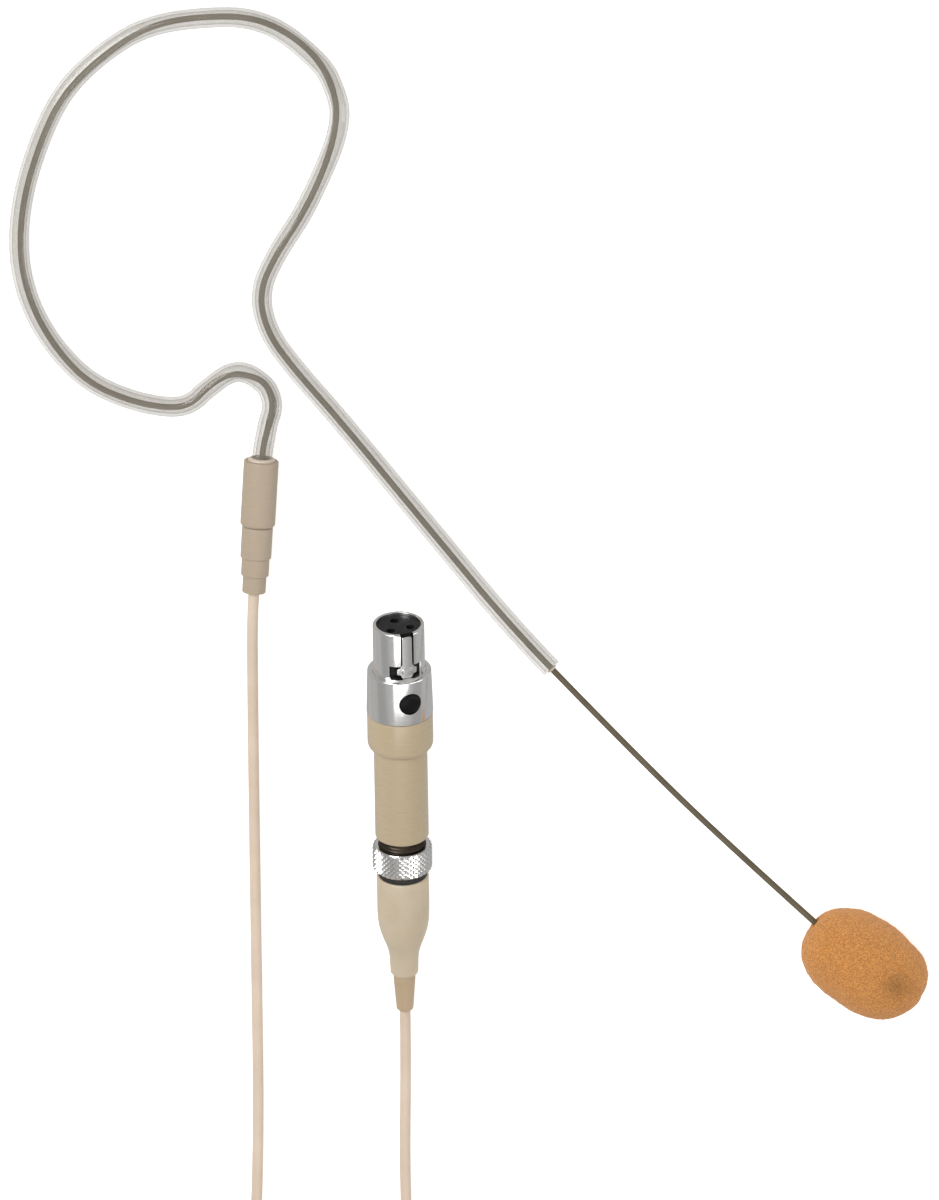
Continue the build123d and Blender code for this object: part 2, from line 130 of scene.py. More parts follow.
def coilPoints(s):
    # four flat spirals on each other, in and out by turns, then one turn round the outside to the table
    middle = Vector((*s["coilMiddle"], 0))
    step = 1 / s["pointsPerTurn"]
    legs = []
    height = s["floor"]
    radius = s["coilOuter"]
    for layer in range(s["layers"]):
        target = s["coilInner"] if layer % 2 == 0 else s["coilOuter"]
        legs.append((s["layerTurns"], radius, target, height, height))
        radius = target
        if layer < s["layers"] - 1:
            legs.append((s["liftTurns"], radius, radius, height, height + s["wide"]))
            height += s["wide"]
    legs.append((1.0, radius, radius + s["wide"], height, s["floor"]))
    points = []
    turn = 0.5
    for turns, fromR, toR, fromZ, toZ in legs:
        count = round(turns / step)
        for i in range(count):
            t = i / count
            outward = ease(min(4 * t, 1.0)) if turns == 1.0 else t
            r = fromR + (toR - fromR) * outward
            a = (turn + t * turns) * 2 * math.pi
            points.append(middle + Vector((r * math.cos(a), r * math.sin(a), fromZ + (toZ - fromZ) * t)))
        turn += turns
    points.append(middle + Vector((radius + s["wide"], 0, s["floor"])))
    return points


def splineCurve(name, points, halfWidth=0.0, resolution=4):
    data = bpy.data.curves.new(name, "CURVE")
    data.dimensions = "3D"
    spline = data.splines.new("NURBS")
    spline.points.add(len(points) - 1)
    for p, at in zip(spline.points, points):
        p.co = (*at, 1)
    spline.order_u = 3
    spline.use_endpoint_u = True
    spline.use_smooth = True
    data.resolution_u = resolution
    data.bevel_depth = halfWidth
    data.bevel_resolution = 5
    data.use_fill_caps = halfWidth > 0
    obj = bpy.data.objects.new(name, data)
    bpy.context.scene.collection.objects.link(obj)
    return obj


def linePoints(points, resolution=10):
    # the smooth line through a route, as a list of places
    curve = splineCurve("route", points, 0.0, resolution)
    mesh = bpy.data.meshes.new_from_object(curve)
    line = [v.co.copy() for v in mesh.vertices]
    bpy.data.meshes.remove(mesh)
    data = curve.data
    bpy.data.objects.remove(curve)
    bpy.data.curves.remove(data)
    return line


def makeCord(s):
    start = collarFace + downCollar * s["bootEnd"]
    end = connectorPlace @ Vector((0, 0, s["reliefEnd"]))
    route = [start, start + downCollar * s["firstRun"], *earCablePoints, *coilPoints(s),
             *plugCablePoints, end + towardCable * s["lastRun"], end]
    cord = splineCurve("cable", route, s["wide"] / 2)
    return cord, start


cable, cableExit = makeCord(cordSizes)
print("cable laid")


# shader groups

def newGroup(name, inputs, outputs):
    tree = bpy.data.node_groups.new(name, "ShaderNodeTree")
    for label, kind, value in inputs:
        socket = tree.interface.new_socket(name=label, in_out="INPUT", socket_type=kind)
        if value is not None:
            socket.default_value = value
    for label, kind in outputs:
        tree.interface.new_socket(name=label, in_out="OUTPUT", socket_type=kind)
    return tree, tree.nodes.new("NodeGroupInput"), tree.nodes.new("NodeGroupOutput")


def mathNode(tree, kind, *values, clamp=False):
    node = tree.nodes.new("ShaderNodeMath")
    node.operation = kind
    node.use_clamp = clamp
    for slot, value in enumerate(values):
        if isinstance(value, (int, float)):
            node.inputs[slot].default_value = value
        else:
            tree.links.new(value, node.inputs[slot])
    return node.outputs[0]


def grainGroup():
    # soft blotches and a fine grain: Tone for colour and roughness, Height for bump
    tree, gin, gout = newGroup(
        "grain",
        [("Vector", "NodeSocketVector", None), ("Blotch Scale", "NodeSocketFloat", 200.0),
         ("Grain Scale", "NodeSocketFloat", 4000.0)],
        [("Tone", "NodeSocketFloat"), ("Height", "NodeSocketFloat")])
    blotch = tree.nodes.new("ShaderNodeTexNoise")
    blotch.inputs["Detail"].default_value = 3
    fine = tree.nodes.new("ShaderNodeTexNoise")
    fine.inputs["Detail"].default_value = 2
    for node, scale in ((blotch, "Blotch Scale"), (fine, "Grain Scale")):
        tree.links.new(gin.outputs["Vector"], node.inputs["Vector"])
        tree.links.new(gin.outputs[scale], node.inputs["Scale"])
    mixed = mathNode(tree, "MULTIPLY", fine.outputs["Fac"], 0.35)
    tone = mathNode(tree, "ADD", mathNode(tree, "MULTIPLY", blotch.outputs["Fac"], 0.65), mixed)
    tree.links.new(tone, gout.inputs["Tone"])
    tree.links.new(fine.outputs["Fac"], gout.inputs["Height"])
    return tree


def turnedGroup():
    # fine lathe lines round a turned piece; its map runs in millimetres, round in X and along in Y
    tree, gin, gout = newGroup(
        "turned",
        [("Vector", "NodeSocketVector", None), ("Lines", "NodeSocketFloat", 12.0)],
        [("Tone", "NodeSocketFloat"), ("Height", "NodeSocketFloat")])
    stretch = tree.nodes.new("ShaderNodeVectorMath")
    stretch.operation = "MULTIPLY"
    stretch.inputs[1].default_value = (0.03, 1.0, 1.0)
    tree.links.new(gin.outputs["Vector"], stretch.inputs[0])
    lines = tree.nodes.new("ShaderNodeTexNoise")
    lines.inputs["Detail"].default_value = 4
    lines.inputs["Roughness"].default_value = 0.7
    tree.links.new(stretch.outputs[0], lines.inputs["Vector"])
    tree.links.new(gin.outputs["Lines"], lines.inputs["Scale"])
    tree.links.new(lines.outputs["Fac"], gout.inputs["Tone"])
    tree.links.new(lines.outputs["Fac"], gout.inputs["Height"])
    return tree


def poreGroup():
    # open cells of two sizes: Cell is 0 in a pore and 1 on the walls between
    tree, gin, gout = newGroup(
        "pores",
        [("Vector", "NodeSocketVector", None), ("Scale", "NodeSocketFloat", 2600.0)],
        [("Cell", "NodeSocketFloat"), ("Height", "NodeSocketFloat")])
    parts = []
    for factor, weight in ((1.0, 0.6), (2.3, 0.4)):
        cells = tree.nodes.new("ShaderNodeTexVoronoi")
        tree.links.new(gin.outputs["Vector"], cells.inputs["Vector"])
        tree.links.new(mathNode(tree, "MULTIPLY", gin.outputs["Scale"], factor), cells.inputs["Scale"])
        parts.append(mathNode(tree, "MULTIPLY", cells.outputs["Distance"], weight))
    fine = tree.nodes.new("ShaderNodeTexNoise")
    fine.inputs["Detail"].default_value = 5
    fine.inputs["Roughness"].default_value = 0.65
    tree.links.new(gin.outputs["Vector"], fine.inputs["Vector"])
    tree.links.new(mathNode(tree, "MULTIPLY", gin.outputs["Scale"], 0.8), fine.inputs["Scale"])
    both = mathNode(tree, "MULTIPLY", mathNode(tree, "ADD", parts[0], parts[1]), 0.7)
    lifted = mathNode(tree, "ADD", both, mathNode(tree, "MULTIPLY", fine.outputs["Fac"], 0.45), clamp=True)
    tree.links.new(lifted, gout.inputs["Cell"])
    tree.links.new(lifted, gout.inputs["Height"])
    return tree


groups = {"grain": grainGroup(), "turned": turnedGroup(), "pores": poreGroup()}


# materials

finishes = {}


def makeFinish(name, dark, light, rough, bump, depth, group="grain", values=None, tune=None):
    # dark and light are the two ends of the colour, rough the two ends of the roughness
    mapped = group == "turned"
    mat = bpy.data.materials.new(name)
    mat.use_nodes = True
    tree = mat.node_tree
    shader = tree.nodes["Principled BSDF"]
    place = tree.nodes.new("ShaderNodeUVMap" if mapped else "ShaderNodeTexCoord")
    if mapped:
        place.uv_map = "turned"
    effect = tree.nodes.new("ShaderNodeGroup")
    effect.node_tree = groups[group]
    tree.links.new(place.outputs["UV" if mapped else "Object"], effect.inputs["Vector"])
    for label, value in (values or {}).items():
        effect.inputs[label].default_value = value
    tone = effect.outputs[0]
    ramp = tree.nodes.new("ShaderNodeValToRGB")
    ramp.color_ramp.elements[0].position = 0.3
    ramp.color_ramp.elements[0].color = (*dark, 1)
    ramp.color_ramp.elements[1].position = 0.7
    ramp.color_ramp.elements[1].color = (*light, 1)
    tree.links.new(tone, ramp.inputs[0])
    tree.links.new(ramp.outputs[0], shader.inputs["Base Color"])
    spread = tree.nodes.new("ShaderNodeMapRange")
    spread.inputs["From Min"].default_value = 0.3
    spread.inputs["From Max"].default_value = 0.7
    spread.inputs["To Min"].default_value = rough[0]
    spread.inputs["To Max"].default_value = rough[1]
    tree.links.new(tone, spread.inputs["Value"])
    tree.links.new(spread.outputs[0], shader.inputs["Roughness"])
    ripple = tree.nodes.new("ShaderNodeBump")
    ripple.inputs["Strength"].default_value = bump
    ripple.inputs["Distance"].default_value = depth * mm
    tree.links.new(effect.outputs["Height"], ripple.inputs["Height"])
    tree.links.new(ripple.outputs[0], shader.inputs["Normal"])
    for label, value in (tune or {}).items():
        shader.inputs[label].default_value = value
    finishes[name] = mat


def grained(blotch, grain):
    return {"Blotch Scale": blotch, "Grain Scale": grain}


makeFinish("clearSleeve", (0.42, 0.385, 0.325), (0.52, 0.48, 0.415), (0.05, 0.10), 0.04, 0.01,
           values=grained(160.0, 900.0), tune={"IOR": 1.5, "Coat Weight": 1.0, "Coat Roughness": 0.05})
makeFinish("khakiWire", (0.105, 0.084, 0.046), (0.175, 0.143, 0.090), (0.28, 0.45), 0.2, 0.02,
           values=grained(260.0, 5000.0), tune={"Metallic": 0.35})
makeFinish("sleevedWire", (0.075, 0.060, 0.034), (0.125, 0.102, 0.064), (0.30, 0.45), 0.2, 0.02,
           values=grained(260.0, 5000.0), tune={"Metallic": 0.2})
makeFinish("tanFoam", (0.275, 0.085, 0.014), (0.69, 0.305, 0.078), (0.85, 0.98), 1.0, 0.16, group="pores",
           values={"Scale": 4000.0}, tune={"Sheen Weight": 0.08, "Sheen Roughness": 0.6})
makeFinish("beigeMoulding", (0.390, 0.312, 0.228), (0.445, 0.360, 0.268), (0.38, 0.50), 0.3, 0.015, group="turned",
           values={"Lines": 9.0})
makeFinish("beigePaint", (0.455, 0.362, 0.232), (0.480, 0.384, 0.248), (0.24, 0.34), 0.06, 0.01, group="turned",
           values={"Lines": 12.0}, tune={"Coat Weight": 0.3, "Coat Roughness": 0.15})
makeFinish("bootMoulding", (0.515, 0.430, 0.305), (0.590, 0.500, 0.372), (0.30, 0.42), 0.15, 0.015,
           values=grained(250.0, 5000.0), tune={"Subsurface Weight": 0.25, "Subsurface Scale": 0.0015})
makeFinish("reliefMoulding", (0.440, 0.325, 0.205), (0.510, 0.385, 0.250), (0.40, 0.55), 0.2, 0.02,
           values=grained(300.0, 5000.0))
makeFinish("cableJacket", (0.615, 0.490, 0.378), (0.690, 0.570, 0.452), (0.38, 0.50), 0.2, 0.02,
           values=grained(220.0, 5200.0))
makeFinish("chrome", (0.84, 0.83, 0.815), (0.92, 0.915, 0.90), (0.10, 0.24), 0.25, 0.01, group="turned",
           values={"Lines": 16.0}, tune={"Metallic": 1.0})
makeFinish("knurlChrome", (0.80, 0.79, 0.77), (0.90, 0.895, 0.88), (0.10, 0.24), 0.2, 0.01,
           values=grained(500.0, 6000.0), tune={"Metallic": 1.0})
makeFinish("blackPlastic", (0.006, 0.006, 0.007), (0.014, 0.014, 0.015), (0.42, 0.55), 0.3, 0.02,
           values=grained(400.0, 6000.0), tune={"Specular IOR Level": 0.3})
makeFinish("buttonBlack", (0.003, 0.003, 0.003), (0.008, 0.008, 0.008), (0.30, 0.40), 0.2, 0.015,
           values=grained(400.0, 6000.0), tune={"Specular IOR Level": 0.12})
makeFinish("blackRubber", (0.012, 0.012, 0.012), (0.026, 0.025, 0.024), (0.55, 0.75), 0.4, 0.03,
           values=grained(400.0, 5000.0))
makeFinish("darkThread", (0.030, 0.024, 0.018), (0.070, 0.055, 0.038), (0.30, 0.50), 0.4, 0.02,
           values=grained(500.0, 5000.0), tune={"Metallic": 0.8})
makeFinish("goldContact", (0.70, 0.47, 0.17), (0.86, 0.62, 0.28), (0.16, 0.30), 0.2, 0.01,
           values=grained(600.0, 7000.0), tune={"Metallic": 1.0})
makeFinish("whiteInsulator", (0.70, 0.68, 0.62), (0.80, 0.78, 0.73), (0.45, 0.6), 0.2, 0.02)
makeFinish("capsuleMetal", (0.42, 0.40, 0.36), (0.58, 0.56, 0.51), (0.25, 0.4), 0.3, 0.01, tune={"Metallic": 1.0})
makeFinish("metalFilm", (0.66, 0.60, 0.42), (0.78, 0.72, 0.52), (0.12, 0.2), 0.1, 0.01, tune={"Metallic": 0.9})
makeFinish("greenBoard", (0.02, 0.11, 0.04), (0.04, 0.17, 0.07), (0.3, 0.45), 0.2, 0.02)
makeFinish("drawnSteel", (0.48, 0.48, 0.47), (0.62, 0.62, 0.61), (0.22, 0.36), 0.2, 0.01, tune={"Metallic": 1.0})
makeFinish("leadJacket", (0.10, 0.085, 0.065), (0.16, 0.135, 0.10), (0.4, 0.55), 0.2, 0.02)
makeFinish("paleTrim", (0.60, 0.50, 0.41), (0.70, 0.60, 0.50), (0.3, 0.45), 0.2, 0.02)


def clearBySight(mat, middle, edge):
    # lets a thin clear wall through, less where it is seen edge on
    tree = mat.node_tree
    weight = tree.nodes.new("ShaderNodeLayerWeight")
    weight.inputs["Blend"].default_value = 0.35
    spread = tree.nodes.new("ShaderNodeMapRange")
    spread.inputs["To Min"].default_value = middle
    spread.inputs["To Max"].default_value = edge
    tree.links.new(weight.outputs["Facing"], spread.inputs["Value"])
    tree.links.new(spread.outputs[0], tree.nodes["Principled BSDF"].inputs["Alpha"])


def darkenedBy(mat, label, least):
    # multiplies the colour by a point attribute, from least up to one
    tree = mat.node_tree
    shader = tree.nodes["Principled BSDF"]
    mark = tree.nodes.new("ShaderNodeAttribute")
    mark.attribute_name = label
    spread = tree.nodes.new("ShaderNodeMapRange")
    spread.inputs["To Min"].default_value = least
    tree.links.new(mark.outputs["Fac"], spread.inputs["Value"])
    mix = tree.nodes.new("ShaderNodeMix")
    mix.data_type = "RGBA"
    mix.blend_type = "MULTIPLY"
    mix.inputs["Factor"].default_value = 1.0
    tree.links.new(shader.inputs["Base Color"].links[0].from_socket, mix.inputs["A"])
    tree.links.new(spread.outputs[0], mix.inputs["B"])
    tree.links.new(mix.outputs["Result"], shader.inputs["Base Color"])


clearBySight(finishes["clearSleeve"], 0.17, 0.60)
# painted shade: the foam's colour is darkened in its dimple, down to 0.62 at the middle
darkenedBy(finishes["tanFoam"], "shade", 0.62)
print("materials mixed:", len(finishes))


# mesh helpers

def meshObject(name, mesh, finish):
    mesh.materials.clear()
    mesh.materials.append(finishes[finish])
    obj = bpy.data.objects.new(name, mesh)
    bpy.context.scene.collection.objects.link(obj)
    return obj


def meshFrom(bm, name):
    mesh = bpy.data.meshes.new(name)
    bm.to_mesh(mesh)
    bm.free()
    return mesh


def shadeByAngle(mesh, degrees=32):
    mesh.shade_smooth()
    mesh.set_sharp_from_angle(angle=math.radians(degrees))


def soften(outline, closed, steps=4):
    # points are (along, radius) or (along, radius, rounding), in millimetres
    out = []
    count = len(outline)
    for i, point in enumerate(outline):
        here = Vector(point[:2])
        round_ = point[2] if len(point) > 2 else 0
        if not round_ or (not closed and i in (0, count - 1)):
            out.append(here)
            continue
        before = Vector(outline[i - 1][:2])
        after = Vector(outline[(i + 1) % count][:2])
        cut = min(round_, (before - here).length * 0.49, (after - here).length * 0.49)
        a = here + (before - here).normalized() * cut
        b = here + (after - here).normalized() * cut
        for k in range(steps + 1):
            t = k / steps
            out.append(a * (1 - t) ** 2 + here * 2 * t * (1 - t) + b * t * t)
    return out


def turnedMesh(name, outline, place, around=96, closed=False):
    # turns an outline round the local Z; a closed outline is a hollow piece, an open one starts and ends on the axis
    points = soften(outline, closed)
    bm = bmesh.new()
    uv = bm.loops.layers.uv.new("turned")
    rings = []
    run = [0.0]
    for a, b in zip(points, points[1:]):
        run.append(run[-1] + (b - a).length)
    for p in points:
        along, radius = p
        if radius < 1e-6:
            rings.append([bm.verts.new((0, 0, along * mm))])
            continue
        ring = []
        for i in range(around):
            a = 2 * math.pi * i / around
            ring.append(bm.verts.new((radius * mm * math.cos(a), radius * mm * math.sin(a), along * mm)))
        rings.append(ring)
    pairs = list(zip(range(len(rings)), range(1, len(rings))))
    if closed:
        pairs.append((len(rings) - 1, 0))
    widest = max(p[1] for p in points)
    for lowRing, highRing in pairs:
        a, b = rings[lowRing], rings[highRing]
        for i in range(around):
            j = (i + 1) % around
            if len(a) == 1 and len(b) == 1:
                continue
            if len(a) == 1:
                corners = [(a[0], lowRing, i), (b[i], highRing, i), (b[j], highRing, i + 1)]
            elif len(b) == 1:
                corners = [(a[i], lowRing, i), (b[0], highRing, i), (a[j], lowRing, i + 1)]
            else:
                corners = [(a[i], lowRing, i), (b[i], highRing, i), (b[j], highRing, i + 1), (a[j], lowRing, i + 1)]
            face = bm.faces.new([c[0] for c in corners])
            for loop, (_, ring, step) in zip(face.loops, corners):
                length = run[ring] if not (closed and ring == 0 and lowRing != 0) else run[-1]
                loop[uv].uv = (step / around * 2 * math.pi * widest, length)
    bmesh.ops.recalc_face_normals(bm, faces=bm.faces)
    bm.transform(place)
    mesh = meshFrom(bm, name)
    shadeByAngle(mesh)
    return mesh


def turnedPiece(name, outline, place, finish, around=96, closed=False):
    return meshObject(name, turnedMesh(name, outline, place, around, closed), finish)


def closedTurn(name, outline, place, finish, around=96):
    return turnedPiece(name, outline, place, finish, around, closed=True)


def stand(piece, node, body):
    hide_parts(node)
    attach(piece, body)
    return piece


def lineFrames(line):
    # tangent, side and lift at each place of a line, turned as little as possible
    frames = []
    side = None
    for i, at in enumerate(line):
        tangent = (line[min(i + 1, len(line) - 1)] - line[max(i - 1, 0)]).normalized()
        if side is None:
            side = tangent.cross(up).normalized()
        side = (side - tangent * tangent.dot(side)).normalized()
        frames.append((at, tangent, side, side.cross(tangent).normalized()))
    return frames


def sweptMesh(name, line, layers, around=28):
    # layers are functions of the share of the length, from outside to inside, giving a radius in metres;
    # two layers make a hollow tube, one a rod
    frames = lineFrames(line)
    total = len(line) - 1
    bm = bmesh.new()
    uv = bm.loops.layers.uv.new("turned")
    run = [0.0]
    for a, b in zip(line, line[1:]):
        run.append(run[-1] + (b - a).length / mm)
    skins = []
    for radiusAt in layers:
        rings = []
        for i, (at, _, side, lift) in enumerate(frames):
            r = radiusAt(i / total)
            rings.append([bm.verts.new(at + side * r * math.cos(2 * math.pi * k / around)
                                       + lift * r * math.sin(2 * math.pi * k / around)) for k in range(around)])
        skins.append(rings)

    def quad(a, b, c, d, marks):
        face = bm.faces.new((a, b, c, d))
        for loop, mark in zip(face.loops, marks):
            loop[uv].uv = mark

    for rings in skins:
        for i in range(total):
            for k in range(around):
                n = (k + 1) % around
                u0, u1 = k * 8.0 / around, (k + 1) * 8.0 / around
                quad(rings[i][k], rings[i][n], rings[i + 1][n], rings[i + 1][k],
                     ((u0, run[i]), (u1, run[i]), (u1, run[i + 1]), (u0, run[i + 1])))
    for end in (0, total):
        if len(skins) == 1:
            bm.faces.new(skins[0][end])
            continue
        for k in range(around):
            n = (k + 1) % around
            bm.faces.new((skins[0][end][k], skins[0][end][n], skins[1][end][n], skins[1][end][k]))
    bmesh.ops.recalc_face_normals(bm, faces=bm.faces)
    mesh = meshFrom(bm, name)
    shadeByAngle(mesh, 50)
    return mesh


# ear hook: clear sleeve, the wire wandering in it, and the bare boom

hook = {
    "sleeve": 3.1 * mm, "bore": 2.2 * mm, "wire": 0.95 * mm, "wireBore": 0.6 * mm, "insideCollar": 5.5 * mm,
    "endRun": 9.0 * mm, "boomEnd": 4.7 * mm,
    # how far sleeve and wire lie to the right of the route, going up from the collar, at shares of the way
    "sleeveDrift": [(0.0, 0.0), (0.02, -0.1), (0.05, -0.5), (0.10, -0.4), (0.13, 0.45), (0.16, 0.0), (0.26, 0.1),
                    (0.34, -0.3), (0.42, -0.1), (0.48, -0.45), (0.53, -0.1), (0.59, 0.4), (0.63, 0.35), (0.66, 0.6),
                    (0.69, 0.15), (0.72, -0.5), (0.77, 0.1), (0.85, 0.2), (0.93, 0.1), (1.0, 0.0)],
    "wireDrift": [(0.0, 0.0), (0.02, -0.1), (0.06, -0.45), (0.11, -0.2), (0.14, 0.25), (0.18, 0.0), (0.33, -0.1),
                  (0.42, 0.15), (0.47, -0.15), (0.52, 0.25), (0.55, 0.1), (0.60, 0.3), (0.63, 0.15), (0.69, 0.35),
                  (0.72, 0.0), (0.80, 0.1), (0.87, 0.3), (0.94, 0.2), (1.0, 0.0)],
}
hookLow = 0.00157
hookPoints = [
    (-0.0316, 0.0102, 0.0027), (-0.0304, 0.0136, 0.0026), (-0.0293, 0.0172, 0.0023),
    (-0.0311, 0.0212, 0.0019), (-0.0355, 0.0221, 0.00165), (-0.0397, 0.0200, hookLow),
    (-0.0428, 0.0168, hookLow), (-0.0466, 0.0164, hookLow), (-0.0525, 0.0177, hookLow),
    (-0.0583, 0.0204, hookLow), (-0.0626, 0.0249, hookLow), (-0.0662, 0.0307, hookLow),
    (-0.0685, 0.0375, hookLow), (-0.0690, 0.0444, hookLow), (-0.0680, 0.0517, hookLow),
    (-0.0657, 0.0585, hookLow), (-0.0625, 0.0651, hookLow), (-0.0581, 0.0705, hookLow),
    (-0.0527, 0.0750, hookLow), (-0.0468, 0.0776, hookLow), (-0.0403, 0.0787, hookLow),
    (-0.0336, 0.0787, hookLow), (-0.0274, 0.0761, hookLow), (-0.0226, 0.0720, hookLow),
    (-0.0200, 0.0668, hookLow), (-0.0201, 0.0606, hookLow), (-0.0221, 0.0538, hookLow),
    (-0.0252, 0.0471, hookLow), (-0.0293, 0.0408, hookLow), (-0.0319, 0.0347, hookLow),
    (-0.0305, 0.0284, 0.00171), (-0.0262, 0.0225, 0.00204), (-0.0195, 0.0148, 0.00251),
    (-0.0044, -0.0039, 0.00355),
]
tubeEnd = Vector((0.01305, -0.0244, 0.0047))
boomBends = [Vector((0.02514, -0.03712, 0.0054)), Vector((0.03979, -0.05165, 0.0063))]


def between(stops, t):
    for (t0, v0), (t1, v1) in zip(stops, stops[1:]):
        if t <= t1:
            return v0 + (v1 - v0) * ease((t - t0) / (t1 - t0))
    return stops[-1][1]


def drifted(line, drift):
    total = len(line) - 1
    return [at + side * between(drift, i / total) * mm for i, (at, _, side, _) in enumerate(lineFrames(line))]


def makeHook(s):
    start = collarFace - downCollar * s["insideCollar"]
    boomWay = (boomBends[0] - tubeEnd).normalized()
    corner = tubeEnd - boomWay * s["endRun"]
    line = linePoints([start, *hookPoints, corner, tubeEnd])
    sleeve = meshObject("hookSleeve", sweptMesh(
        "hookSleeve", drifted(line, s["sleeveDrift"]), (lambda t: s["sleeve"] / 2, lambda t: s["bore"] / 2)),
        "clearSleeve")
    wire = meshObject("hookWire", sweptMesh(
        "hookWire", drifted(line, s["wireDrift"]), (lambda t: s["wire"] / 2, lambda t: s["wireBore"] / 2), 20),
        "sleevedWire")
    boomEnd = middleOf("foam_windscreen") - alongBoom * s["boomEnd"]
    boomLine = linePoints([tubeEnd, *boomBends, boomEnd], 24)
    boom = meshObject("boomRod", sweptMesh(
        "boomRod", boomLine, (lambda t: s["wire"] / 2, lambda t: s["wireBore"] / 2), 24), "khakiWire")
    ringPlace = axisPlace(tubeEnd, boomWay, up)
    ring = turnedPiece("sleeveEndRing", [
        (0.02, 0.50), (0.02, 0.80), (0.25, 0.78, 0.08), (0.35, 0.66, 0.06), (0.35, 0.50),
    ], ringPlace, "paleTrim", 48, closed=True)
    stand(sleeve, "ear_tube", "earset")
    stand(wire, "ear_wire", "earset")
    stand(boom, "boom_rod", "earset")
    stand(ring, "tube_end_ring", "earset")


makeHook(hook)
print("ear hook and boom made")


# foam windscreen

foam = {"half": 10.2, "wide": 7.45, "blunt": 2.4, "bore": 2.1, "boreEnd": 1.5, "around": 340, "along": 250,
        "mouth": 0.85, "rim": 0.5, "lip": 0.25, "lipIn": 0.35, "lipSteps": 8, "neck": 0.9, "shoulder": 2.2,
        "boreSteps": 6, "skin": 0.6, "boreSpare": 0.1, "settle": 0.1,
        "noiseShift": (3.1, 7.7, 1.9), "leanFade": 3,
        "lump": 0.20, "lumpSize": 4.2, "grain": 0.07, "grainSize": 0.5, "coarseSize": 1.1,
        "leanStart": -0.32, "lean": -0.085, "dimple": (5.3, -1.5, 6.0), "dimpleWide": 2.3, "dimpleDeep": 0.6}


def foamRadius(s, along):
    share = min(abs(along) / s["half"], 1.0)
    return s["wide"] * (1 - share ** s["blunt"]) ** (1 / s["blunt"])


def makeFoam(s):
    # from the front tip back to the mouth, which closes round the boom, and up the bore
    rim = s["mouth"] + s["rim"]
    mouth = s["half"] * (1 - (rim / s["wide"]) ** s["blunt"]) ** (1 / s["blunt"])
    outline = [(s["half"], 0.0)]
    for i in range(1, s["along"] + 1):
        turn = math.pi * i / s["along"]
        along = max(s["half"] * math.cos(turn), -mouth)
        outline.append((along, max(foamRadius(s, along), rim)))
        if along == -mouth:
            break
    for k in range(1, s["lipSteps"] + 1):
        turn = math.pi * k / s["lipSteps"]
        outline.append((-mouth - s["lip"] * math.sin(turn) + s["lipIn"] * k / s["lipSteps"],
                        rim - s["lip"] * (1 - math.cos(turn))))
    outline += [(-mouth + s["neck"], s["mouth"]), (-mouth + s["shoulder"], s["bore"])]
    outline += [(-mouth + s["shoulder"] + (s["boreEnd"] + mouth - s["shoulder"]) * k / s["boreSteps"], s["bore"])
                for k in range(1, s["boreSteps"] + 1)]
    outline.append((s["boreEnd"], 0.0))
    mesh = turnedMesh("foamWindscreen", outline, Matrix.Identity(4), s["around"])
    shade = mesh.attributes.new("shade", "FLOAT", "POINT")
    shift = Vector(s["noiseShift"])
    dimple = Vector((s["dimple"][2], s["dimple"][1], s["dimple"][0]))
    for v in mesh.vertices:
        p = v.co / mm
        shade.data[v.index].value = 1.0
        if math.hypot(p.x, p.y) < foamRadius(s, p.z) - s["skin"] and p.z < s["boreEnd"] + s["boreSpare"]:
            continue
        out = Vector((p.x / s["wide"] ** 2, p.y / s["wide"] ** 2, p.z / s["half"] ** 2)).normalized()
        lump = noise.noise(p / s["lumpSize"] + shift) * s["lump"]
        grain = noise.noise(p / s["grainSize"] + shift) + noise.noise(p / s["coarseSize"])
        near = math.exp(-((p - dimple).length / s["dimpleWide"]) ** 2)
        # the dimple is a real dent; the shade attribute also paints shade into it, darkest at its middle
        shade.data[v.index].value = 1 - near
        lean = Vector((0, s["leanStart"] + s["lean"] * p.z, 0)) * min(1.0, (p.z + s["half"]) / s["leanFade"])
        lift = lump + grain * s["grain"] - near * s["dimpleDeep"] - s["settle"]
        v.co = (p + lean + out * lift) * mm
    mesh.transform(foamPlace)
    mesh.update()
    mesh.shade_smooth()
    piece = stand(meshObject("foamWindscreen", mesh, "tanFoam"), "foam_windscreen", "windscreen")


makeFoam(foam)
print("windscreen made")


# collar and its cable plug, Z up the collar from the parting face

def makeCollar():
    shell = turnedPiece("collarShell", [
        (0.06, 2.02), (0.06, 2.48), (0.34, 2.70, 0.12), (10.5, 2.70, 0.32), (10.5, 1.5), (5.4, 1.5), (5.4, 2.02),
    ], collarPlace, "beigeMoulding", closed=True)
    lip = turnedPiece("collarLip", [
        (10.5, 1.5), (10.5, 2.10), (10.75, 2.06, 0.1), (10.9, 1.80, 0.1), (10.9, 1.5),
    ], collarPlace, "paleTrim", closed=True)
    boot = turnedPiece("collarPlugBoot", [
        (-0.06, 1.55), (-0.06, 2.25), (-0.22, 2.40, 0.08), (-5.02, 2.40, 0.1), (-5.15, 2.16), (-5.22, 2.15),
        (-7.88, 2.15, 0.1), (-8.0, 1.83), (-8.08, 1.82), (-10.62, 1.82, 0.15), (-10.75, 1.4), (-10.75, 0.0),
        (-4.2, 0.0), (-4.2, 1.55),
    ], collarPlace, "beigeMoulding", closed=False)
    return shell, lip, boot


shell, lip, plugBoot = makeCollar()
stand(shell, "collar_shell", "earset")
stand(lip, "collar_lip", "earset")
stand(plugBoot, "collar_plug_boot", "cable")
print("collar made")


# connector, Z from the nose's tip towards the cable, X towards the latch

stations = {"bodyEnd": 15.45, "nutEnd": 21.5, "barrelEnd": 37.4, "ring": 39.05, "ringEnd": 43.3,
            "boot": 44.5, "bootEnd": 62.3, "reliefEnd": 68.85}


